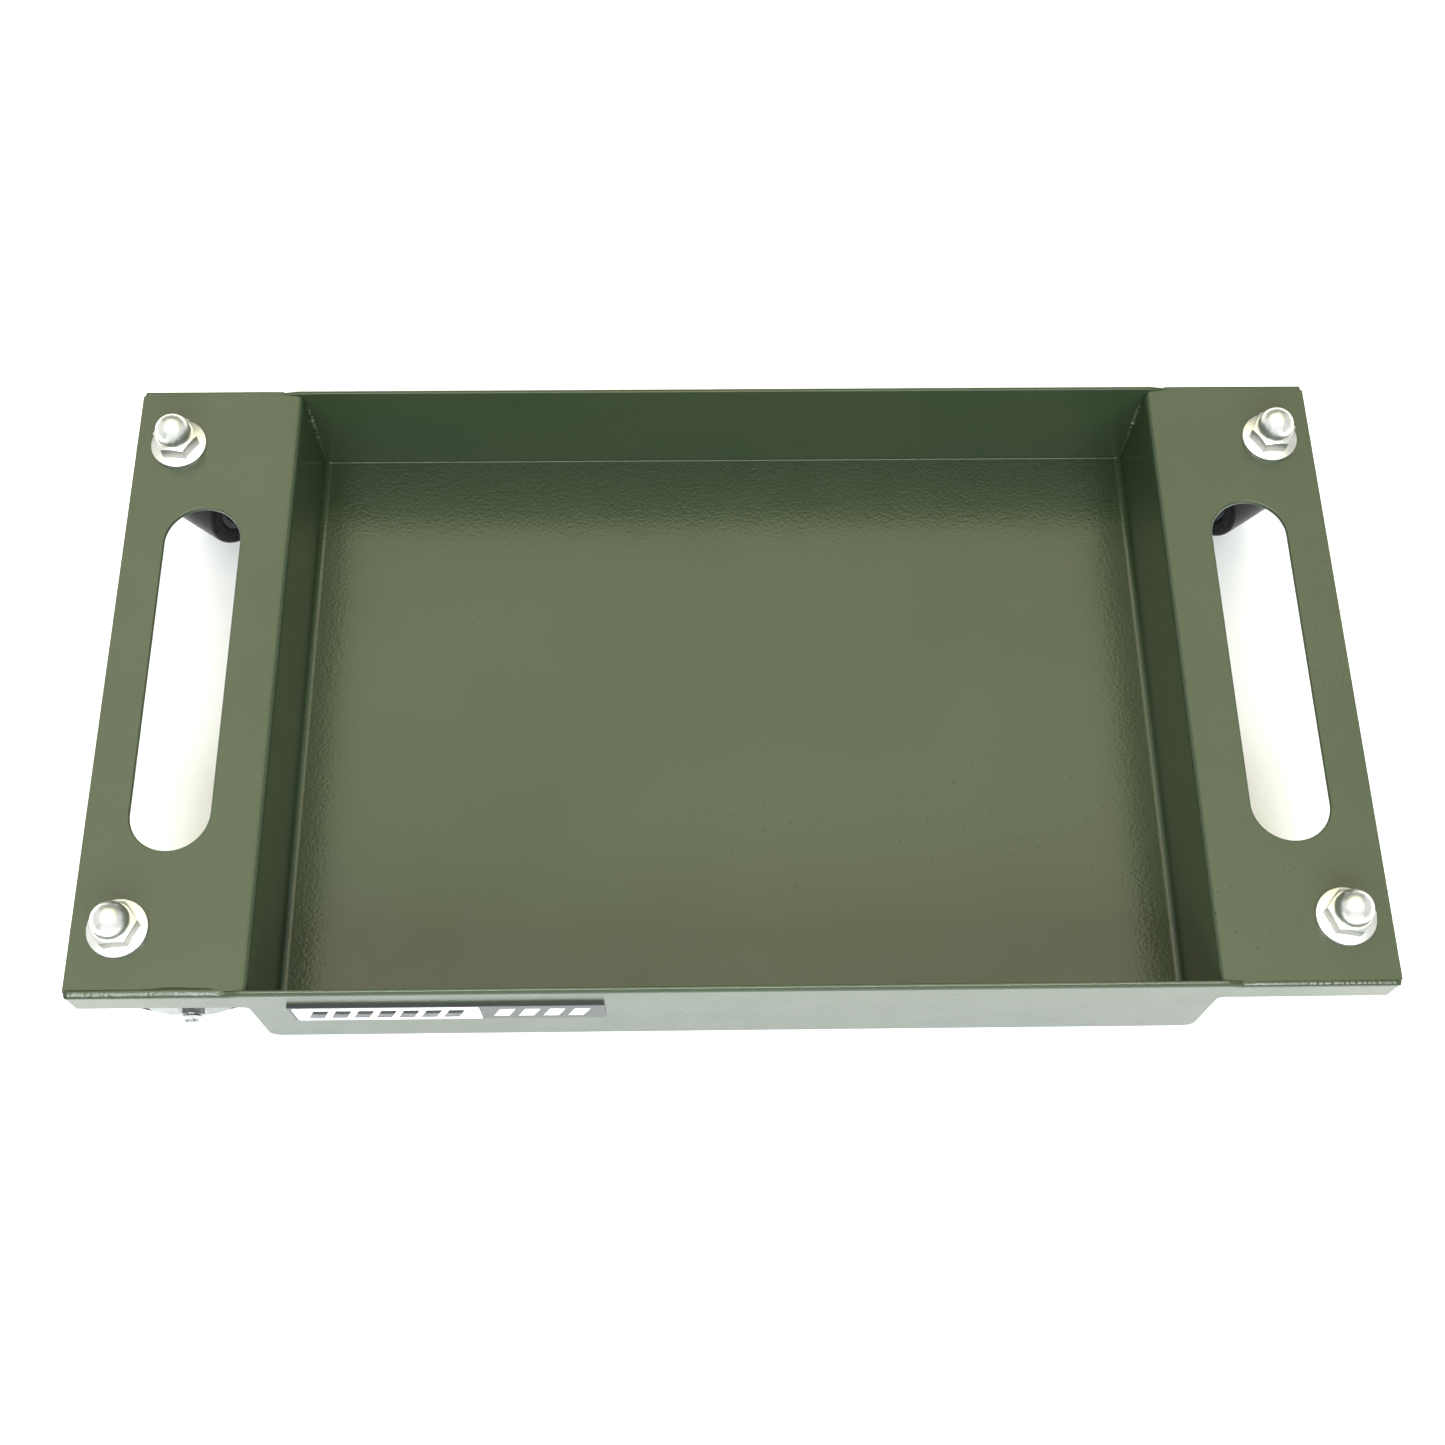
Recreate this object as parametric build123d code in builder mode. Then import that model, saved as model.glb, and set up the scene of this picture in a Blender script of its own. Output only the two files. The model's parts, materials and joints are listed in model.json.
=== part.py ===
from build123d import *
from math import cos, radians, sin
import os

# Low rolling tray: a folded steel tray with two hand-hold wings on four swivel castors.
# Millimetres, +Z up. The origin is on the floor under the middle of the tray, +X runs
# along the length and +Y points to the rear.

# ---------------------------------------------------------------- driving dimensions
# Tray
tray_length = 560.0
tray_width = 300.0
sheet = 2.5
wall_height = 62.5
cavity_length = 407.0
lip_height = 16.0
panel_rise = 1.2
panel_ramp = 7.0
wing_bend_radius = 0.4
floor_bend_radius = 3.0

# Hand slots
slot_length = 170.0
slot_width = 35.0
slot_inset = 36.0
slot_edge_round = 0.8

# Castors
castor_height = 80.0
castor_spacing_x = 520.0
castor_spacing_y = 240.0
wheel_diameter = 60.0
tyre_width = 32.0
trail = 18.0
corners = {
    "front_left": (-1, -1, 5.0),
    "front_right": (1, -1, 112.0),
    "rear_left": (-1, 1, 56.0),
    "rear_right": (1, 1, 123.0),
}

# Swivel head, radii from the swivel axis and heights above the floor
bolt_radius = 6.0
bolt_head_radius = 9.0
bolt_head_thickness = 3.2
bolt_reach = 9.5
bolt_clearance = 0.1
cup_radius = 21.5
cup_thickness = 2.5
cup_rim_depth = 3.0
upper_ball_radius = 2.5
upper_ball_pitch = 15.0
upper_ball_count = 16
lower_ball_radius = 2.0
lower_ball_pitch = 11.0
lower_ball_count = 14
ball_seat = 0.25
ball_clearance = 0.05
kingpin_wall = 1.5
kingpin_flange_radius = 15.0
kingpin_flange = 2.4
kingpin_rim = 2.2

# Fork
fork_steel = 3.0
fork_gap = 33.5
crown_front = 16.0
crown_back = 9.0
leg_end_radius = 19.0
crown_bend_radius = 2.5

# Axle and wheel
axle_radius = 3.0
axle_end = 2.0
washer_radius = 6.0
washer_thickness = 1.2
hex_flats = 10.0
axle_head_height = 4.0
lock_nut_height = 6.0
lock_nut_hex_height = 4.2
sleeve_radius = 4.5
core_radius = 22.0
hub_radius = 8.5
hub_width = 32.1
rim_width = 28.0
rim_thickness = 2.8
web_thickness = 5.0
rib_count = 6
rib_width = 16.0
rib_thickness = 2.0
tyre_shoulder = 2.0

# Dome nut on the wing
nut_flange_radius = 13.0
nut_flange_edge = 1.4
nut_flange_height = 2.6
nut_flats = 18.0
nut_hex_height = 9.6
dome_radius = 8.2
dome_centre_height = 11.5
nut_bore_depth = 12.0

# Name plate
plate_length = 134.0
plate_height = 19.5
plate_thickness = 1.5
plate_centre_x = -122.5
plate_drop = 13.0
label_length = 79.0
label_height = 17.5
label_thickness = 0.2
label_margin = 2.0

# Weld beads
bead_size = 1.0

# ---------------------------------------------------------------- derived dimensions
wing_underside = castor_height
wing_top = wing_underside + sheet
tray_bottom = wing_top - wall_height
floor_top = tray_bottom + sheet
half_length = tray_length / 2
half_width = tray_width / 2
half_cavity = cavity_length / 2
panel_inner_y = half_width - sheet
wheel_radius = wheel_diameter / 2
half_gap = fork_gap / 2
leg_outer = half_gap + fork_steel

cup_underside = wing_underside - cup_thickness
upper_ball_height = cup_underside - upper_ball_radius + ball_seat
crown_top = upper_ball_height - upper_ball_radius + ball_seat
crown_underside = crown_top - fork_steel
lower_ball_height = crown_underside - lower_ball_radius + ball_seat
flange_top = lower_ball_height - lower_ball_radius + ball_seat
flange_underside = flange_top - kingpin_flange
kingpin_bore = bolt_radius + bolt_clearance
kingpin_radius = kingpin_bore + kingpin_wall
upper_groove = upper_ball_radius + ball_clearance
lower_groove = lower_ball_radius + ball_clearance

axle_plane = Plane(origin=(trail, 0, wheel_radius), x_dir=(1, 0, 0), z_dir=(0, 1, 0))

os.makedirs("parts", exist_ok=True)


def save(piece, name):
    """Label a finished piece and write its STEP file."""
    piece.label = name
    export_step(piece, f"parts/{name}.step")


# ---------------------------------------------------------------- tray
def slot_edge(edge):
    """True for the edges of the two hand slots."""
    middle = edge.center()
    in_length = abs(middle.X) > half_length - slot_inset - slot_width
    in_length = in_length and abs(middle.X) < half_length - slot_inset + slot_width / 2 + 1
    level = abs(middle.Z - wing_top) < 0.01 or abs(middle.Z - wing_underside) < 0.01
    return in_length and abs(middle.Y) < slot_length / 2 + 1 and level


with BuildPart() as tray_pan:
    with BuildSketch(Plane.XZ):
        with BuildLine():
            upper = FilletPolyline(
                (-half_length, wing_top),
                (-half_cavity, wing_top),
                (-half_cavity, floor_top),
                (half_cavity, floor_top),
                (half_cavity, wing_top),
                (half_length, wing_top),
                radius=[
                    wing_bend_radius + sheet,
                    floor_bend_radius,
                    floor_bend_radius,
                    wing_bend_radius + sheet,
                ],
            )
            lower = FilletPolyline(
                (-half_length, wing_underside),
                (-half_cavity - sheet, wing_underside),
                (-half_cavity - sheet, tray_bottom),
                (half_cavity + sheet, tray_bottom),
                (half_cavity + sheet, wing_underside),
                (half_length, wing_underside),
                radius=[
                    wing_bend_radius,
                    floor_bend_radius + sheet,
                    floor_bend_radius + sheet,
                    wing_bend_radius,
                ],
            )
            Line(upper @ 0, lower @ 0)
            Line(upper @ 1, lower @ 1)
        make_face()
    extrude(amount=panel_inner_y, both=True)
    with BuildSketch(Plane.XY.offset(wing_underside)):
        with Locations((half_length - slot_inset, 0), (slot_inset - half_length, 0)):
            SlotOverall(slot_length, slot_width, rotation=90)
        with GridLocations(castor_spacing_x, castor_spacing_y, 2, 2):
            Circle(bolt_radius + 2 * bolt_clearance)
    extrude(amount=sheet, mode=Mode.SUBTRACT)
    fillet(tray_pan.edges().filter_by(slot_edge), radius=slot_edge_round)
save(tray_pan.part, "tray_pan")


def end_panel(side):
    """Front (side -1) or rear (side +1) panel: the tray's end wall and both wing lips."""
    plane = Plane(origin=(0, side * panel_inner_y, 0), x_dir=(1, 0, 0), z_dir=(0, -1, 0))
    wall_half = half_cavity + sheet
    lip_bottom = wing_top - lip_height
    with BuildPart() as panel:
        with BuildSketch(plane) as outline:
            with Locations((0, wing_top)):
                Rectangle(tray_length, lip_height, align=(Align.CENTER, Align.MAX))
            with Locations((0, tray_bottom)):
                Rectangle(2 * wall_half, wall_height, align=(Align.CENTER, Align.MIN))
            with BuildLine():
                Polyline(
                    (-wall_half - panel_ramp, wing_top),
                    (-wall_half, wing_top + panel_rise),
                    (wall_half, wing_top + panel_rise),
                    (wall_half + panel_ramp, wing_top),
                    close=True,
                )
            make_face()
            feet = outline.vertices().group_by(Axis.Y)[0]
            fillet(feet, radius=floor_bend_radius + sheet)
            inner = [v for v in outline.vertices() if abs(v.Y - lip_bottom) < 0.01]
            fillet([v for v in inner if abs(v.X) < half_length - 1], radius=floor_bend_radius)
            bends = [v for v in outline.vertices() if v.Y > wing_top - 0.01]
            bends = [v for v in bends if abs(v.X) < half_length - 1]
            fillet(bends, radius=2 * panel_ramp)
        extrude(amount=-side * sheet)
        upright = panel.edges().filter_by(Axis.Z)
        ends = [e for e in upright if abs(abs(e.center().X) - half_length) < 0.01]
        outer_ends = [e for e in ends if abs(e.center().Y) > half_width - 0.01]
        fillet(outer_ends, radius=sheet * 0.9)
        for reach, rounding in ((half_width, sheet * 0.72), (panel_inner_y, sheet * 0.2)):
            rims = [e for e in panel.edges() if abs(abs(e.center().Y) - reach) < 0.01]
            rims = [e for e in rims if e.center().Z > wing_top - 0.01]
            fillet(rims, radius=rounding)
    return panel.part


save(end_panel(-1), "front_panel")
save(end_panel(1), "rear_panel")

with BuildPart() as weld_beads:
    bead_top = wing_top - wing_bend_radius - sheet
    with BuildSketch(Plane.XZ.offset(panel_inner_y - bead_size)):
        with BuildLine():
            outside = FilletPolyline(
                (-half_cavity, bead_top),
                (-half_cavity, floor_top),
                (half_cavity, floor_top),
                (half_cavity, bead_top),
                radius=floor_bend_radius,
            )
            inside = FilletPolyline(
                (bead_size - half_cavity, bead_top),
                (bead_size - half_cavity, floor_top + bead_size),
                (half_cavity - bead_size, floor_top + bead_size),
                (half_cavity - bead_size, bead_top),
                radius=floor_bend_radius - bead_size,
            )
            Line(outside @ 0, inside @ 0)
            Line(outside @ 1, inside @ 1)
        make_face()
    extrude(amount=bead_size)
    face = weld_beads.faces().filter_by(Axis.Y).sort_by(Axis.Y)[-1]
    throat = [e for e in face.edges() if e.center().Z > floor_top + 0.95 * bead_size]
    throat = [e for e in throat if abs(e.center().X) < half_cavity - 0.95 * bead_size]
    chamfer([e for e in throat if abs(e.center().Z - bead_top) > 0.01], length=bead_size * 0.8)
    mirror(about=Plane.XZ)
save(weld_beads.part, "weld_beads")

plate_centre = (plate_centre_x, wing_top - plate_drop - plate_height / 2)
with BuildPart() as name_plate:
    with BuildSketch(Plane.XZ.offset(half_width)):
        with Locations(plate_centre):
            Rectangle(plate_length, plate_height)
    extrude(amount=plate_thickness)
    chamfer(name_plate.faces().sort_by(Axis.Y)[0].edges(), length=0.3)
save(name_plate.part, "name_plate")

with BuildPart() as blank_label:
    label_x = plate_centre_x - plate_length / 2 + label_margin + label_length / 2
    with BuildSketch(Plane.XZ.offset(half_width + plate_thickness)):
        with Locations((label_x, plate_centre[1])):
            RectangleRounded(label_length, label_height, 1.0)
    extrude(amount=label_thickness)
save(blank_label.part, "blank_label")


# ---------------------------------------------------------------- castor pieces
# Each is made with the swivel axis on Z and the wheel trailing towards +X.
def make_dome_nut():
    with BuildPart() as nut:
        with BuildSketch(Plane.XY.offset(wing_top)):
            RegularPolygon(nut_flats / 2, 6, major_radius=False)
        extrude(amount=nut_hex_height)
        bevel = nut_flats * 0.085
        with BuildSketch(Plane.XZ):
            with BuildLine():
                Polyline(
                    (nut_flats / 2 - 0.3, wing_top + nut_hex_height),
                    (nut_flats / 2 + 3, wing_top + nut_hex_height),
                    (nut_flats / 2 + 3, wing_top + nut_hex_height - bevel * 1.25),
                    close=True,
                )
            make_face()
        revolve(axis=Axis.Z, mode=Mode.SUBTRACT)
        with BuildSketch(Plane.XZ):
            with BuildLine():
                Polyline(
                    (0, wing_top),
                    (nut_flange_radius, wing_top),
                    (nut_flange_radius, wing_top + nut_flange_edge),
                    (nut_flats / 2, wing_top + nut_flange_height),
                    (0, wing_top + nut_flange_height),
                    close=True,
                )
            make_face()
        revolve(axis=Axis.Z)
        with BuildSketch(Plane.XZ):
            with BuildLine():
                crown = wing_top + dome_centre_height
                Line((0, wing_top), (dome_radius, wing_top))
                Line((dome_radius, wing_top), (dome_radius, crown))
                CenterArc((0, crown), dome_radius, 0, 90)
                Line((0, crown + dome_radius), (0, wing_top))
            make_face()
        revolve(axis=Axis.Z)
        rim = nut.edges().filter_by(GeomType.CIRCLE).group_by(SortBy.RADIUS)[-1]
        fillet(rim.sort_by(Axis.Z)[-1], radius=0.5)
        with BuildSketch(Plane.XY.offset(wing_top)):
            Circle(bolt_radius)
        extrude(amount=nut_bore_depth, mode=Mode.SUBTRACT)
    return nut.part


def make_mounting_bolt():
    with BuildPart() as bolt:
        with BuildSketch(Plane.XY.offset(flange_underside - bolt_head_thickness)):
            Circle(bolt_head_radius)
        extrude(amount=bolt_head_thickness)
        chamfer(bolt.edges().sort_by(Axis.Z)[0], length=0.8)
        with BuildSketch(Plane.XY.offset(flange_underside)):
            Circle(bolt_radius - 0.02)
        extrude(amount=wing_top + bolt_reach - flange_underside)
        chamfer(bolt.edges().sort_by(Axis.Z)[-1], length=0.8)
        with BuildSketch(Plane.XY.offset(flange_underside - bolt_head_thickness)):
            RegularPolygon(bolt_radius / 2, 6, major_radius=False)
        extrude(amount=bolt_head_thickness * 0.7, mode=Mode.SUBTRACT)
    return bolt.part


def make_top_cup():
    with BuildPart() as cup:
        with BuildSketch(Plane.XZ):
            with BuildLine():
                Polyline(
                    (kingpin_radius + 0.02, cup_underside),
                    (cup_radius - cup_thickness, cup_underside),
                    (cup_radius - cup_thickness, cup_underside - cup_rim_depth),
                    (cup_radius, cup_underside - cup_rim_depth),
                    (cup_radius, wing_underside),
                    (kingpin_radius + 0.02, wing_underside),
                    close=True,
                )
            make_face()
        revolve(axis=Axis.Z)
        outer = cup.edges().filter_by(GeomType.CIRCLE).group_by(SortBy.RADIUS)[-1]
        fillet(outer.sort_by(Axis.Z)[-1], radius=cup_thickness * 0.6)
        fillet(outer.sort_by(Axis.Z)[0], radius=0.5)
        with Locations((0, 0, upper_ball_height)):
            Torus(upper_ball_pitch, upper_groove, mode=Mode.SUBTRACT)
    return cup.part


def make_kingpin():
    rim = kingpin_rim + flange_top
    with BuildPart() as pin:
        with BuildSketch(Plane.XZ):
            with BuildLine():
                Polyline(
                    (kingpin_bore, flange_underside),
                    (kingpin_flange_radius, flange_underside),
                    (kingpin_flange_radius, rim),
                    (kingpin_flange_radius - 1.5, rim),
                    (kingpin_flange_radius - 1.5, flange_top),
                    (kingpin_radius, flange_top),
                    (kingpin_radius, wing_underside),
                    (kingpin_bore, wing_underside),
                    close=True,
                )
            make_face()
        revolve(axis=Axis.Z)
        with Locations((0, 0, lower_ball_height)):
            Torus(lower_ball_pitch, lower_groove, mode=Mode.SUBTRACT)
    return pin.part


def make_balls():
    with BuildPart() as balls:
        with Locations((0, 0, upper_ball_height)):
            with PolarLocations(upper_ball_pitch, upper_ball_count):
                Sphere(upper_ball_radius)
        with Locations((0, 0, lower_ball_height)):
            with PolarLocations(lower_ball_pitch, lower_ball_count):
                Sphere(lower_ball_radius)
    return balls.part


def make_fork():
    with BuildPart() as fork:
        with BuildSketch(Plane.XY.offset(crown_underside)):
            Circle(leg_outer)
            with Locations(((crown_front - crown_back) / 2, 0)):
                Rectangle(crown_front + crown_back, 2 * leg_outer)
            make_hull()
        extrude(amount=fork_steel)
        for side in (-1, 1):
            leg_plane = Plane(origin=(0, side * half_gap, 0), x_dir=(1, 0, 0), z_dir=(0, -1, 0))
            with BuildSketch(leg_plane):
                with Locations((trail, wheel_radius)):
                    Circle(leg_end_radius)
                with Locations(((crown_front - crown_back) / 2, crown_underside + fork_steel / 2)):
                    Rectangle(crown_front + crown_back, fork_steel)
                make_hull()
            extrude(amount=-side * fork_steel)
        along = fork.edges().filter_by(Axis.X)
        outer = [e for e in along if abs(abs(e.center().Y) - leg_outer) < 0.01]
        fillet([e for e in outer if e.center().Z > crown_top - 0.01], radius=crown_bend_radius)
        with BuildSketch(axle_plane):
            Circle(axle_radius + bolt_clearance)
        extrude(amount=leg_outer + 1, both=True, mode=Mode.SUBTRACT)
        with BuildSketch(Plane.XY.offset(crown_underside)):
            Circle(kingpin_radius + 0.8)
        extrude(amount=fork_steel, mode=Mode.SUBTRACT)
        with Locations((0, 0, upper_ball_height)):
            Torus(upper_ball_pitch, upper_groove, mode=Mode.SUBTRACT)
        with Locations((0, 0, lower_ball_height)):
            Torus(lower_ball_pitch, lower_groove, mode=Mode.SUBTRACT)
    return fork.part


def across(distance):
    """A plane square to the axle, this far from the wheel's middle, facing the nut."""
    return Plane(origin=(trail, -distance, wheel_radius), x_dir=(1, 0, 0), z_dir=(0, -1, 0))


washer_face = leg_outer + washer_thickness
shank_end = washer_face + lock_nut_height + axle_end


def make_axle_bolt():
    with BuildPart() as bolt:
        with BuildSketch(across(-washer_face - axle_head_height)):
            RegularPolygon(hex_flats / 2, 6, major_radius=False)
        extrude(amount=axle_head_height)
        with BuildSketch(across(-washer_face)):
            Circle(axle_radius)
        extrude(amount=washer_face + shank_end)
        chamfer(bolt.edges().sort_by(Axis.Y)[0], length=0.6)
    return bolt.part


def make_axle_nut():
    with BuildPart() as nut:
        with BuildSketch(across(washer_face)):
            RegularPolygon(hex_flats / 2, 6, major_radius=False)
        extrude(amount=lock_nut_hex_height)
        with BuildSketch(across(washer_face)):
            Circle(hex_flats * 0.46)
        extrude(amount=lock_nut_height)
        chamfer(nut.faces().sort_by(Axis.Y)[0].edges(), length=0.8)
        with BuildSketch(across(washer_face)):
            Circle(axle_radius + 0.02)
        extrude(amount=lock_nut_height, mode=Mode.SUBTRACT)
    return nut.part


def make_axle_washers():
    with BuildPart() as washers:
        with BuildSketch(across(leg_outer), across(-washer_face)):
            Circle(washer_radius)
            Circle(axle_radius + bolt_clearance, mode=Mode.SUBTRACT)
        extrude(amount=washer_thickness)
    return washers.part


def make_axle_sleeve():
    with BuildPart() as sleeve:
        with BuildSketch(axle_plane):
            Circle(sleeve_radius)
            Circle(axle_radius + bolt_clearance, mode=Mode.SUBTRACT)
        extrude(amount=half_gap, both=True)
    return sleeve.part


def make_wheel_core():
    with BuildPart() as core:
        with BuildSketch(axle_plane):
            Circle(core_radius)
        extrude(amount=web_thickness / 2, both=True)
        with BuildSketch(axle_plane):
            Circle(core_radius)
            Circle(core_radius - rim_thickness, mode=Mode.SUBTRACT)
        extrude(amount=rim_width / 2, both=True)
        with BuildSketch(axle_plane):
            Circle(hub_radius)
        extrude(amount=hub_width / 2, both=True)
        with BuildSketch(axle_plane):
            with PolarLocations((core_radius - rim_thickness + hub_radius) / 2, rib_count):
                Rectangle(core_radius - hub_radius - rim_thickness / 2, rib_thickness)
        extrude(amount=rib_width / 2, both=True)
        with BuildSketch(axle_plane):
            Circle(sleeve_radius + ball_clearance)
        extrude(amount=hub_width / 2, both=True, mode=Mode.SUBTRACT)
    return core.part


def make_tyre():
    with BuildPart() as tyre:
        with BuildSketch(axle_plane):
            Circle(wheel_radius)
            Circle(core_radius, mode=Mode.SUBTRACT)
        extrude(amount=tyre_width / 2, both=True)
        rings = tyre.edges().filter_by(GeomType.CIRCLE).group_by(SortBy.RADIUS)
        chamfer(rings[0], length=(tyre_width - rim_width) / 2)
        rings = tyre.edges().filter_by(GeomType.CIRCLE).group_by(SortBy.RADIUS)
        fillet(rings[-1], radius=tyre_shoulder)
    return tyre.part


castor_pieces = {
    "dome_nut": make_dome_nut(),
    "mounting_bolt": make_mounting_bolt(),
    "top_cup": make_top_cup(),
    "kingpin": make_kingpin(),
    "bearing_balls": make_balls(),
    "fork": make_fork(),
    "axle_bolt": make_axle_bolt(),
    "axle_nut": make_axle_nut(),
    "axle_washers": make_axle_washers(),
    "axle_sleeve": make_axle_sleeve(),
    "wheel_core": make_wheel_core(),
    "tyre": make_tyre(),
}

for corner, (side_x, side_y, heading) in corners.items():
    pivot = (side_x * castor_spacing_x / 2, side_y * castor_spacing_y / 2, 0)
    place = Location(pivot, (0, 0, heading))
    for piece_name, piece in castor_pieces.items():
        save(piece.moved(place), f"{corner}_{piece_name}")
    wheel_x = pivot[0] + trail * cos(radians(heading))
    wheel_y = pivot[1] + trail * sin(radians(heading))
    print(f"{corner}: wheel centre {wheel_x:.3f}, {wheel_y:.3f}, heading {heading}")
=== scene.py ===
import json
import math

import bpy
from mathutils import Matrix, Vector, noise


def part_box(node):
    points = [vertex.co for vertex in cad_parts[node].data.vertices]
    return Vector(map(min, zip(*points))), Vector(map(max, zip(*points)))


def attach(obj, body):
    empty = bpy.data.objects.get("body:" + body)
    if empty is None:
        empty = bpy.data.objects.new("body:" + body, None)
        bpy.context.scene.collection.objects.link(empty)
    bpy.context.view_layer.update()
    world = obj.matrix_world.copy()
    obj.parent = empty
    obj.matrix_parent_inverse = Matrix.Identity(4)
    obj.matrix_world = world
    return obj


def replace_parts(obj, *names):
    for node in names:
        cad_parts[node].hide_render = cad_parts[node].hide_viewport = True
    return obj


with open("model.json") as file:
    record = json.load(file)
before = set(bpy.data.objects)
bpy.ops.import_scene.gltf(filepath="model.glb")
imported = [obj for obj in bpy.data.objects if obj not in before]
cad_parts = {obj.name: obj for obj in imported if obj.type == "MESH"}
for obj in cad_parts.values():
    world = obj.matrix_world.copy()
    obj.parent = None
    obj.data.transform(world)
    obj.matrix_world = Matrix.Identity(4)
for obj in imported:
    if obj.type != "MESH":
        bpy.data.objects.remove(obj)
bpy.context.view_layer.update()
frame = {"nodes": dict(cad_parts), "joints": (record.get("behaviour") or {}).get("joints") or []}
nodes = frame["nodes"]

MM = 0.001
CORNERS = ("front_left", "front_right", "rear_left", "rear_right")
JOINTS = {joint["name"]: joint for joint in frame["joints"]}
WHEEL_SPIN = {corner: JOINTS[f"{corner}_wheel_spin"] for corner in CORNERS}

# the tray's outside, in millimetres
_, pan_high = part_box("tray_pan")
panel_low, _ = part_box("front_panel")
WING_TOP = pan_high.z / MM
HALF_LENGTH = pan_high.x / MM
HALF_WIDTH = -panel_low.y / MM


# ------------------------------------------------------------------ shader building blocks
class Shader:
    """One material: a Principled shader with helpers that add the nodes feeding it."""

    def __init__(self, name, **sockets):
        self.material = bpy.data.materials.new(name)
        self.material.use_nodes = True
        self.tree = self.material.node_tree
        self.bsdf = self.tree.nodes["Principled BSDF"]
        for socket, value in sockets.items():
            self.bsdf.inputs[socket.replace("_", " ")].default_value = value
        self.coords = self.node("ShaderNodeTexCoord").outputs["Object"]

    def node(self, kind, **settings):
        made = self.tree.nodes.new(kind)
        for key, value in settings.items():
            setattr(made, key, value)
        return made

    def link(self, source, target):
        self.tree.links.new(source, target)

    def placed(self, centre, axis):
        """Coordinates about a point, with Z along the given axis."""
        turn = Vector(axis).to_track_quat("Z", "Y").to_euler()
        mapping = self.node("ShaderNodeMapping", vector_type="TEXTURE")
        mapping.inputs["Location"].default_value = centre
        mapping.inputs["Rotation"].default_value = turn
        self.link(self.coords, mapping.inputs["Vector"])
        return mapping.outputs["Vector"]

    def noise(self, scale, detail=2.0, roughness=0.5, stretch=None, coords=None, distortion=0.0):
        texture = self.node("ShaderNodeTexNoise")
        texture.inputs["Scale"].default_value = scale
        texture.inputs["Detail"].default_value = detail
        texture.inputs["Roughness"].default_value = roughness
        texture.inputs["Distortion"].default_value = distortion
        source = coords or self.coords
        if stretch:
            mapping = self.node("ShaderNodeMapping")
            mapping.inputs["Scale"].default_value = stretch
            self.link(source, mapping.inputs["Vector"])
            source = mapping.outputs["Vector"]
        self.link(source, texture.inputs["Vector"])
        return texture.outputs["Fac"]

    def spots(self, scale, size, coords=None):
        """1 inside small round spots, one to a cell of a random lattice, 0 elsewhere."""
        texture = self.node("ShaderNodeTexVoronoi", feature="F1")
        texture.inputs["Scale"].default_value = scale
        self.link(coords or self.coords, texture.inputs["Vector"])
        return self.ramp(texture.outputs["Distance"], size, size * 0.6)

    def ramp(self, value, at_zero, at_one, low=0.0, high=1.0):
        """Maps value from at_zero..at_one to low..high, smoothly, clamped."""
        chosen = self.node("ShaderNodeMapRange", interpolation_type="SMOOTHSTEP")
        for socket, number in zip(
            ("From Min", "From Max", "To Min", "To Max"), (at_zero, at_one, low, high)
        ):
            chosen.inputs[socket].default_value = number
        self.link(value, chosen.inputs["Value"])
        return chosen.outputs["Result"]

    def math(self, operation, first, second):
        made = self.node("ShaderNodeMath", operation=operation)
        for socket, source in zip(made.inputs, (first, second)):
            if isinstance(source, (int, float)):
                socket.default_value = source
            else:
                self.link(source, socket)
        return made.outputs["Value"]

    def mix(self, factor, first, second):
        """A colour between first and second, each a colour tuple or a socket."""
        made = self.node("ShaderNodeMix", data_type="RGBA")
        self.link(factor, made.inputs["Factor"])
        colours = [s for s in made.inputs if s.type == "RGBA"]
        for socket, source in zip(colours, (first, second)):
            if isinstance(source, tuple):
                socket.default_value = (*source, 1.0)
            else:
                self.link(source, socket)
        return [s for s in made.outputs if s.type == "RGBA"][0]

    def bump(self, height, distance, strength=1.0, over=None):
        made = self.node("ShaderNodeBump")
        made.inputs["Strength"].default_value = strength
        made.inputs["Distance"].default_value = distance
        self.link(height, made.inputs["Height"])
        if over is not None:
            self.link(over, made.inputs["Normal"])
        return made.outputs["Normal"]

    def finish(self, colour=None, roughness=None, normal=None):
        for socket, source in (("Base Color", colour), ("Roughness", roughness), ("Normal", normal)):
            if source is not None:
                self.link(source, self.bsdf.inputs[socket])
        return self.material


def paint(material, *names):
    for name in names:
        slots = nodes[name].data.materials
        slots.clear()
        slots.append(material)


# ------------------------------------------------------------------ materials
def powder_coat():
    """Semi-gloss olive powder coat: orange peel, slight clouding and a few specks of dust."""
    coat = Shader("powder_coat", IOR=1.5)
    clouds = coat.noise(7.0, detail=3.0)
    peel = coat.noise(680.0, detail=1.5, roughness=0.4)
    grain = coat.noise(2400.0, detail=2.0)
    green, brown = (0.0165, 0.0285, 0.0125), (0.0215, 0.0325, 0.0150)
    colour = coat.mix(coat.ramp(clouds, 0.3, 0.7), green, brown)
    gathered = coat.ramp(clouds, 0.52, 0.60)
    specks = coat.math("MULTIPLY", coat.spots(170.0, 0.11), gathered)
    colour = coat.mix(coat.math("MULTIPLY", specks, 0.6), colour, (0.005, 0.007, 0.004))
    roughness = coat.ramp(coat.noise(40.0, detail=4.0), 0.25, 0.75, 0.19, 0.25)
    normal = coat.bump(peel, 0.00012, 0.95)
    normal = coat.bump(grain, 0.00001, 0.5, over=normal)
    return coat.finish(colour, roughness, normal)


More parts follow.
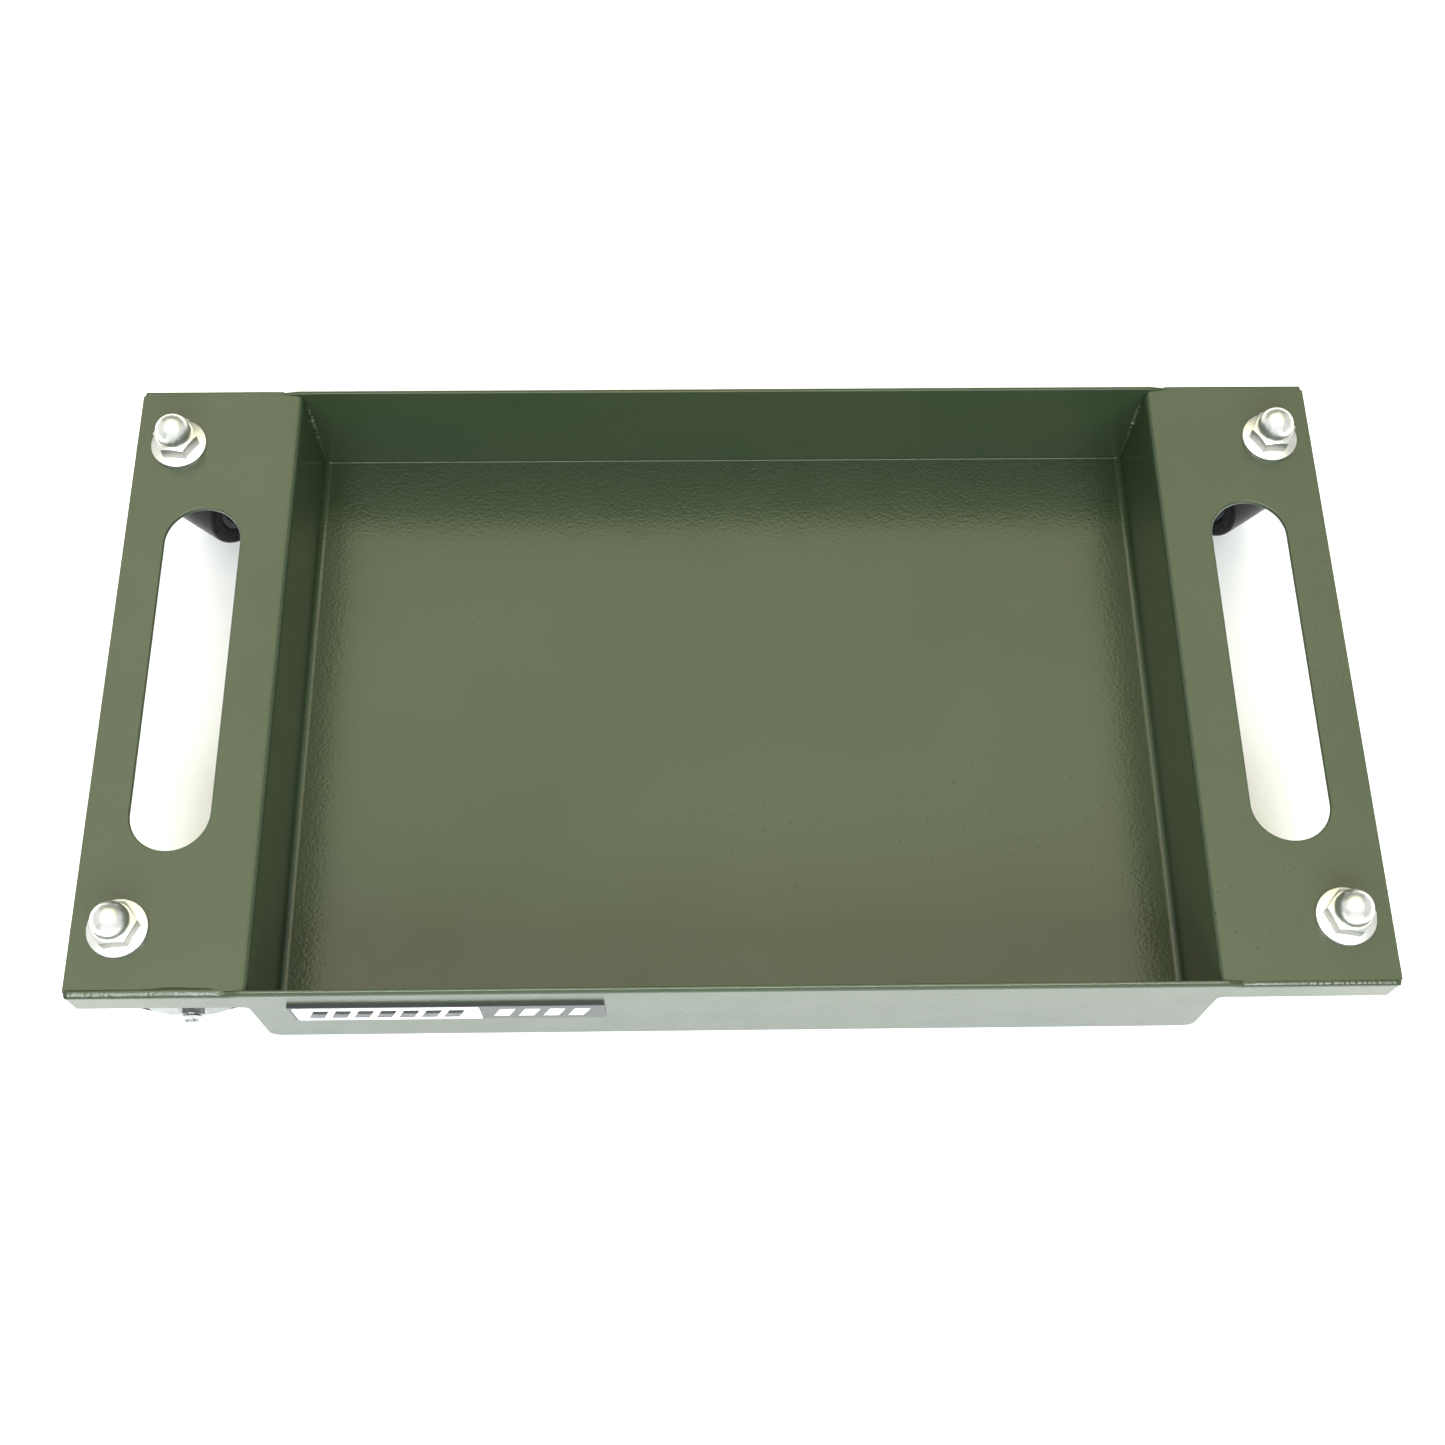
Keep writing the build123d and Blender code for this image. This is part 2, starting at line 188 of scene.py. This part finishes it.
def plated_metal(name, colour, rough, dull):
    """Zinc plate or polished steel: clouded between two tints, roughness between two values."""
    zinc = Shader(name, Metallic=1.0)
    clouds = zinc.noise(140.0, detail=4.0, roughness=0.6)
    scuffs = zinc.noise(900.0, detail=3.0, roughness=0.7)
    tint = zinc.mix(zinc.ramp(clouds, 0.35, 0.7), colour, dull)
    roughness = zinc.ramp(scuffs, 0.3, 0.75, *rough)
    normal = zinc.bump(scuffs, 0.00001, 0.4)
    normal = zinc.bump(clouds, 0.00003, 0.15, over=normal)
    return zinc.finish(tint, roughness, normal)


def rubber(corner):
    """Moulded grey tread rubber: fine grain, scuffed and dusty where it rolls."""
    joint = WHEEL_SPIN[corner]
    tyre = Shader(f"{corner}_rubber", IOR=1.5, Specular_IOR_Level=0.07)
    coords = tyre.placed(joint["pos_m"], joint["axis"])
    grain = tyre.noise(1500.0, detail=4.0, roughness=0.65, coords=coords)
    scuffs = tyre.noise(90.0, detail=5.0, roughness=0.7, coords=coords)
    colour = tyre.mix(tyre.ramp(scuffs, 0.35, 0.75), (0.006, 0.006, 0.0075), (0.011, 0.011, 0.0125))
    roughness = tyre.ramp(scuffs, 0.3, 0.7, 0.24, 0.40)
    normal = tyre.bump(grain, 0.00004, 0.4)
    return tyre.finish(colour, roughness, normal)


def core_plastic():
    plastic = Shader("core_plastic", IOR=1.48)
    flow = plastic.noise(120.0, detail=3.0, stretch=(1, 1, 0.3))
    grain = plastic.noise(1900.0, detail=2.0)
    colour = plastic.mix(flow, (0.022, 0.023, 0.025), (0.036, 0.037, 0.039))
    roughness = plastic.ramp(grain, 0.3, 0.7, 0.36, 0.5)
    return plastic.finish(colour, roughness, plastic.bump(grain, 0.00005, 0.4))


def plate_black():
    """Gloss charcoal plastic of the name plate, with faint polishing marks along it."""
    plate = Shader("plate_black", IOR=1.5, Specular_IOR_Level=0.15)
    marks = plate.noise(300.0, detail=3.0, stretch=(0.1, 1, 1))
    colour = plate.mix(marks, (0.020, 0.021, 0.022), (0.030, 0.031, 0.032))
    roughness = plate.ramp(marks, 0.3, 0.7, 0.12, 0.2)
    return plate.finish(colour, roughness, plate.bump(marks, 0.00002, 0.3))


def label_white():
    film = Shader("label_white", IOR=1.46)
    fibre = film.noise(1200.0, detail=3.0)
    colour = film.mix(fibre, (0.54, 0.56, 0.56), (0.62, 0.64, 0.64))
    roughness = film.ramp(fibre, 0.3, 0.7, 0.3, 0.42)
    return film.finish(colour, roughness, film.bump(fibre, 0.00001, 0.3))


coat_material = powder_coat()
nut_material = plated_metal("bright_zinc", (0.70, 0.705, 0.68), (0.31, 0.40), (0.60, 0.61, 0.59))
steel_material = plated_metal("zinc_steel", (0.42, 0.43, 0.42), (0.26, 0.42), (0.30, 0.31, 0.31))
axle_material = plated_metal("axle_zinc", (0.62, 0.63, 0.62), (0.24, 0.34), (0.50, 0.51, 0.51))
ball_material = plated_metal("bearing_steel", (0.72, 0.72, 0.74), (0.06, 0.14), (0.6, 0.6, 0.62))
plastic_material = core_plastic()

paint(coat_material, "tray_pan", "front_panel", "rear_panel", "weld_beads")
paint(plate_black(), "name_plate")
paint(label_white(), "blank_label")
for corner in CORNERS:
    paint(nut_material, *(f"{corner}_{p}" for p in ("dome_nut", "mounting_bolt")))
    paint(axle_material, *(f"{corner}_{p}" for p in ("axle_bolt", "axle_nut", "axle_washers")))
    paint(steel_material, *(f"{corner}_{p}" for p in ("top_cup", "kingpin", "fork", "axle_sleeve")))
    paint(ball_material, f"{corner}_bearing_balls")
    paint(plastic_material, f"{corner}_wheel_core")
    paint(rubber(corner), f"{corner}_tyre")


# ------------------------------------------------------------------ pieces built in mesh code
def piece(name, corners, faces, material, slot, body):
    """A smooth-shaded mesh piece that rides a body and takes the given material; the slot is not used.
    """
    mesh = bpy.data.meshes.new(name)
    mesh.from_pydata([tuple(c) for c in corners], [], faces)
    mesh.validate()
    for polygon in mesh.polygons:
        polygon.use_smooth = True
    mesh.materials.append(material)
    made = bpy.data.objects.new(name, mesh)
    bpy.context.scene.collection.objects.link(made)
    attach(made, body)
    return made


def tube(rings):
    """Corners and faces that join equal rings into a closed tube with capped ends."""
    count = len(rings[0])
    corners = [corner for ring in rings for corner in ring]
    faces = []
    for first in range(0, len(corners) - count, count):
        for k in range(count):
            after = (k + 1) % count
            faces.append((first + k, first + after, first + count + after, first + count + k))
    faces.append(tuple(reversed(range(count))))
    faces.append(tuple(range(len(corners) - count, len(corners))))
    return corners, faces


def joined(*parts):
    corners, faces = [], []
    for part_corners, part_faces in parts:
        shift = len(corners)
        corners += part_corners
        faces += [tuple(k + shift for k in face) for face in part_faces]
    return corners, faces


def wobble(x, y, z=0.0):
    return noise.noise(Vector((x, y, z)))


# the ground seams, in millimetres: where they start and stop along X, and the grinder's lump
SEAM_OUTER_END = HALF_LENGTH - 1.0
SEAM_INNER_END = 213.0
LUMP_MIDDLE, LUMP_REACH = 232.0, 18.0
SEAM_STAND_OFF = 0.05
NOSE = 0.7
NOSE_FROM, NOSE_TO = -50.0, 72.0
STEEP, GENTLE = math.tan(math.radians(18.0)), math.tan(math.radians(8.0))


def eased(share):
    return share * share * (3.0 - 2.0 * share)


def ground_seam(side_x, side_y, seed, base, bevel, rough, bulge):
    """Ground weld along a wing's edge, from the outer end to the tray, bevelled towards the outside."""
    rings = []
    steps = 300
    for i in range(steps + 1):
        along = SEAM_OUTER_END - (SEAM_OUTER_END - SEAM_INNER_END) * i / steps
        slow = wobble(along * 0.09, seed)
        fine = wobble(along * 0.8, seed + 7.0)
        lump = eased(max(0.0, 1.0 - abs(along - LUMP_MIDDLE) / LUMP_REACH))
        ends = min(1.0, (i + 1) / 8, (steps + 1 - i) / 30)
        crest = ends * (base + 0.2 * base * slow + rough * fine + bulge * lump)
        shelf = crest - bevel * (STEEP + GENTLE) / 2
        tail = 1.4 + 0.3 * slow + 2.0 * bulge * lump + rough * wobble(along * 0.5, seed + 3.0)
        ring = []
        for k in range(8):
            angle = math.radians(NOSE_FROM + (NOSE_TO - NOSE_FROM) * k / 7)
            lift = math.sin(angle) - math.sin(math.radians(NOSE_TO))
            nose_y = HALF_WIDTH + SEAM_STAND_OFF - NOSE + NOSE * math.cos(angle)
            ring.append((nose_y, shelf + NOSE * lift))
        shoulder_y = ring[-1][0]
        for k in range(1, 6):
            reach = k / 5
            rise = bevel * (STEEP * reach - (STEEP - GENTLE) * reach * reach / 2)
            ring.append((shoulder_y - bevel * reach, shelf + rise))
        for k in range(1, 8):
            slope = k / 7
            sunk = crest * (1.0 - eased(slope)) - 0.08 * slope
            ring.append((shoulder_y - bevel - tail * slope, sunk))
        rings.append([Vector((side_x * along, side_y * y, WING_TOP + z)) * MM for y, z in ring])
    return tube(rings)


# the inside welds, in millimetres: their U-shaped path in the XZ plane, and how far out in Y it lies
BEAD_HALF_SPAN = 203.2
BEAD_FLOOR, BEAD_TOP = 22.7, 78.2
BEAD_BEND = 3.0
BEAD_Y = 147.2
RIPPLE_PITCH = 2.3


def bead_path():
    """Down one inside corner, round onto the floor, along it, and up the other corner."""
    fall = BEAD_TOP - BEAD_FLOOR - BEAD_BEND
    path = [(-BEAD_HALF_SPAN, BEAD_TOP - fall * k / 140) for k in range(140)]
    for k in range(9):
        angle = math.radians(90.0 * k / 8)
        x = -BEAD_HALF_SPAN + BEAD_BEND - BEAD_BEND * math.cos(angle)
        path.append((x, BEAD_FLOOR + BEAD_BEND - BEAD_BEND * math.sin(angle)))
    corner = path[:]
    straight = BEAD_HALF_SPAN - BEAD_BEND
    path += [(-straight + 2 * straight * k / 500, BEAD_FLOOR) for k in range(1, 500)]
    return path + [(-x, z) for x, z in reversed(corner)]


def corner_bead(side_y, seed):
    """Weld bead along that path, nearly smooth on the floor and rippled up the corners."""
    path = bead_path()
    rings = []
    run = 0.0
    for i, (x, z) in enumerate(path):
        before, after = path[max(i - 1, 0)], path[min(i + 1, len(path) - 1)]
        step = math.hypot(after[0] - before[0], after[1] - before[1])
        run += step / 2
        along = Vector((after[0] - before[0], 0.0, after[1] - before[1])).normalized()
        inward = Vector((along.z, 0.0, -along.x)) * -1
        upright = min(1.0, max(0.0, (z - BEAD_FLOOR - 4.0) / 30.0))
        ripple = abs(math.sin(run * math.pi / RIPPLE_PITCH + 2.0 * wobble(run * 0.1, seed)))
        size = 0.62 + 0.15 * wobble(run * 0.15, seed + 1.0) + 0.06 * ripple
        size += upright * (0.9 * ripple * ripple + 0.9 * wobble(run * 0.6, seed + 2.0))
        size *= min(1.0, 0.15 + (BEAD_TOP - z) / 12.0)
        drift = upright * 0.7 * wobble(run * 0.35, seed + 5.0)
        ring = []
        for k in range(12):
            angle = math.radians(360.0 * k / 12)
            across = inward * (size * math.cos(angle) + drift)
            out = Vector((0.0, -side_y, 0.0)) * size * math.sin(angle)
            ring.append((Vector((x, side_y * BEAD_Y, z)) + across + out) * MM)
        rings.append(ring)
    return tube(rings)


def lathe(profile, centre, axis, segments):
    """A ring turned about an axis, from (radius, distance along the axis) points in millimetres."""
    turn = Vector(axis).to_track_quat("Z", "Y").to_matrix()
    corners, faces = [], []
    for i in range(segments):
        angle = 2 * math.pi * i / segments
        for radius, reach in profile:
            local = Vector((radius * math.cos(angle), radius * math.sin(angle), reach)) * MM
            corners.append(Vector(centre) + turn @ local)
    count = len(profile)
    for i in range(segments):
        here, there = i * count, (i + 1) % segments * count
        for k in range(count):
            after = (k + 1) % count
            faces.append((here + k, there + k, there + after, here + after))
    return corners, faces


def thread(centre, axis, start, end, radius, pitch):
    """Helical thread on a round shank, with a coned tip."""
    turn = Vector(axis).to_track_quat("Z", "Y").to_matrix()
    steps, segments = 26, 28
    tooth_height = 0.26
    rings = []
    for i in range(steps + 1):
        reach = start + (end - start) * i / steps
        fade = min(1.0, 1.6 * (end - reach) / pitch + 0.55)
        ring = []
        for k in range(segments):
            turns = reach / pitch - k / segments
            tooth = 1.0 - abs(2.0 * (turns - math.floor(turns)) - 1.0)
            spoke = (radius + tooth_height * tooth) * fade
            angle = 2 * math.pi * k / segments
            local = Vector((spoke * math.cos(angle), spoke * math.sin(angle), reach)) * MM
            ring.append(Vector(centre) + turn @ local)
        rings.append(ring)
    return tube(rings)


BAR_WIDTH, BAR_MARGIN = 6.6, 3.6
BAR_SUNK, BAR_PROUD = 0.05, 0.12


def slanted_bars(start_x, count, pitch, low_z, high_z, face_y):
    """Generic mark: a row of equal slanted bars standing a little proud of a face."""
    bars = []
    lean = 0.35 * (high_z - low_z)
    for k in range(count):
        x = start_x + k * pitch
        right = x + BAR_WIDTH
        outline = ((x, low_z), (right, low_z), (right + lean, high_z), (x + lean, high_z))
        depths = (face_y + BAR_SUNK, face_y - BAR_PROUD)
        bars.append(tube([[Vector((a, y, z)) * MM for a, z in outline] for y in depths]))
    return joined(*bars)


def nylon():
    insert = Shader("lock_nylon", IOR=1.53)
    haze = insert.noise(500.0, detail=3.0)
    colour = insert.mix(haze, (0.42, 0.44, 0.46), (0.56, 0.57, 0.58))
    roughness = insert.ramp(haze, 0.3, 0.7, 0.3, 0.45)
    return insert.finish(colour, roughness, insert.bump(haze, 0.00003, 0.4))


# each seam's side in X and Y, seed, crest height, bevel width, roughness and lump height
SEAMS = {
    "front_left_seam": (-1, -1, 2.0, 0.40, 2.2, 0.05, 0.45),
    "front_right_seam": (1, -1, 11.0, 0.25, 1.0, 0.10, 0.05),
    "rear_left_seam": (-1, 1, 23.0, 0.10, 0.5, 0.03, 0.02),
    "rear_right_seam": (1, 1, 31.0, 0.10, 0.5, 0.03, 0.02),
}
for name, shape in SEAMS.items():
    piece(name, *ground_seam(*shape), coat_material, "powder_coat", "tray")
beads = joined(corner_bead(1, 3.0), corner_bead(-1, 17.0))
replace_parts(piece("laid_beads", *beads, coat_material, "powder_coat", "tray"), "weld_beads")

label_low, label_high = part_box("blank_label")
plate_low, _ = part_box("name_plate")
label_material = nodes["blank_label"].data.materials[0]
plate_material = nodes["name_plate"].data.materials[0]
bar_low, bar_high = label_low.z / MM + BAR_MARGIN, label_high.z / MM - BAR_MARGIN
dark_bars = slanted_bars(label_low.x / MM + 5.0, 7, 9.6, bar_low, bar_high, label_low.y / MM)
piece("label_bars", *dark_bars, plate_material, "plate_black", "tray")
pale_bars = slanted_bars(label_high.x / MM + 5.0, 4, 10.6, bar_low, bar_high, plate_low.y / MM)
piece("plate_bars", *pale_bars, label_material, "label_white", "tray")

nylon_material = nylon()
RING_RADII = (24.2, 27.0)
RING_FOOT, RING_TOP = 15.8, 16.22


def lock_ring(hub, out, nut_end):
    """The nylon collar at the mouth of the axle's lock nut."""
    lip = [
        (3.3, nut_end - 0.6),
        (4.0, nut_end - 0.6),
        (4.15, nut_end + 0.1),
        (3.9, nut_end + 0.4),
        (3.4, nut_end + 0.3),
    ]
    return lathe(lip, hub, out, 40)


def sidewall_rings(hub, out):
    """Two moulded rings on each side of a tyre."""
    rings = []
    for side in (-1, 1):
        for radius in RING_RADII:
            reaches = ((0.0, RING_FOOT), (0.2, RING_TOP), (0.7, RING_TOP), (0.9, RING_FOOT))
            profile = [(radius + extra, side * reach) for extra, reach in reaches]
            rings.append(lathe(profile if side > 0 else profile[::-1], hub, out, 96))
    return joined(*rings)


for corner in CORNERS:
    hub = Vector(WHEEL_SPIN[corner]["pos_m"])
    out = -Vector(WHEEL_SPIN[corner]["axis"])
    nut_low, nut_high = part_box(f"{corner}_axle_nut")
    nut_end = ((nut_low + nut_high) / 2 - hub).dot(out) / MM + 3.0
    swivel, wheel = f"{corner}_swivel", f"{corner}_wheel"
    collar = lock_ring(hub, out, nut_end)
    piece(f"{corner}_lock_ring", *collar, nylon_material, "core_plastic", swivel)
    shank = thread(hub, out, nut_end - 0.5, nut_end + 2.05, 2.95, 0.85)
    piece(f"{corner}_axle_thread", *shank, axle_material, "bright_zinc", swivel)
    tyre_material = nodes[f"{corner}_tyre"].data.materials[0]
    piece(f"{corner}_tyre_rings", *sidewall_rings(hub, out), tyre_material, "grey_rubber", wheel)


# ------------------------------------------------------------------ floor, lights and camera
def studio_floor():
    half = 6.0
    mesh = bpy.data.meshes.new("studio_floor")
    corners = [(-half, -half, 0), (half, -half, 0), (half, half, 0), (-half, half, 0)]
    mesh.from_pydata(corners, [], [(0, 1, 2, 3)])
    floor = bpy.data.objects.new("studio_floor", mesh)
    bpy.context.scene.collection.objects.link(floor)
    paper = Shader("studio_paper", Roughness=0.9)
    fleck = paper.noise(3.0, detail=2.0)
    mesh.materials.append(paper.finish(paper.mix(fleck, (0.82, 0.82, 0.82), (0.86, 0.86, 0.86))))


def softbox(name, centre, target, size, radiance, colour=(1.0, 1.0, 1.0)):
    """A rectangular area light of this radiance, facing the target."""
    light = bpy.data.lights.new(name, "AREA")
    light.shape = "RECTANGLE"
    light.size, light.size_y = size
    light.energy = radiance * math.pi * size[0] * size[1]
    light.color = colour
    lamp = bpy.data.objects.new(name, light)
    lamp.location = centre
    lamp.rotation_euler = (Vector(target) - Vector(centre)).to_track_quat("-Z", "Y").to_euler()
    lamp.visible_camera = False
    bpy.context.scene.collection.objects.link(lamp)
    return lamp


def camera():
    """The photograph's view: above and in front of the tray, steeply down."""
    place = (-0.0159, -0.3591, 0.8227)
    pitch, heading, roll = (math.radians(angle) for angle in (65.817, -2.067, -1.416))
    lens = bpy.data.cameras.new("camera")
    lens.lens = 45.50
    lens.sensor_width = 36.0
    lens.clip_start = 0.01
    eye = bpy.data.objects.new("camera", lens)
    turn = Matrix.Rotation(heading, 4, "Z") @ Matrix.Rotation(math.pi / 2 - pitch, 4, "X")
    turn = turn @ Matrix.Rotation(-roll, 4, "Z")
    eye.matrix_world = Matrix.Translation(place) @ turn
    bpy.context.scene.collection.objects.link(eye)
    bpy.context.scene.camera = eye


studio_floor()
CEILING = 1.6
KEY_PLACE, KEY_SIZE = (0.0, -1.35, 1.0), (1.6, 0.9)
softbox("overhead", (0.0, 0.75, CEILING), (0.0, 0.75, 0.0), (2.2, 2.2), 2.25, (1.0, 0.97, 0.63))
softbox("overhead_left", (-1.2, 0.5, 1.58), (-1.2, 0.5, 0.0), (1.3, 1.8), 0.45, (1.0, 0.99, 0.95))
front_key = softbox("front_key", KEY_PLACE, (0.0, 0.0, 0.05), KEY_SIZE, 16.5, (0.92, 0.975, 1.0))
front_key.visible_glossy = False

# what the gloss alone mirrors: name, centre, target, size, radiance
for name, centre, target, size, radiance in (
    ("edge_strip", (0.0, -0.42, CEILING), (0.0, -0.42, 0.0), (1.9, 0.36), 17.5),
    ("key_gloss", KEY_PLACE, (0.0, 0.0, 0.05), KEY_SIZE, 4.0),
    ("front_ceiling", (0.0, -1.3, CEILING), (0.0, -1.3, 0.0), (3.0, 1.3), 0.4),
    ("front_wall", (0.0, -2.3, 0.95), (0.0, 0.0, 0.3), (4.4, 1.7), 1.0),
    ("left_wall", (-2.3, 0.2, 0.95), (0.0, 0.2, 0.3), (3.6, 1.7), 0.8),
    ("right_wall", (2.3, 0.2, 0.95), (0.0, 0.2, 0.3), (3.6, 1.7), 0.7),
):
    softbox(name, centre, target, size, radiance, (0.97, 1.0, 1.0)).visible_diffuse = False

# soft fill that no gloss mirrors: name, centre, size, radiance
for name, centre, size, radiance in (
    ("rear_wash", (0.0, 1.9, 1.0), (2.4, 0.8), 5.0),
    ("left_wash", (-1.6, 0.2, 0.7), (1.6, 0.8), 3.0),
    ("right_wash", (1.6, 0.2, 0.7), (1.6, 0.8), 3.0),
):
    softbox(name, centre, (0.0, 0.1, 0.0), size, radiance).visible_glossy = False
world = bpy.data.worlds.new("studio")
world.use_nodes = True
world.node_tree.nodes["Background"].inputs["Color"].default_value = (0.33, 0.33, 0.32, 1.0)
bpy.context.scene.world = world
bpy.context.scene.view_settings.view_transform = "Standard"
camera()
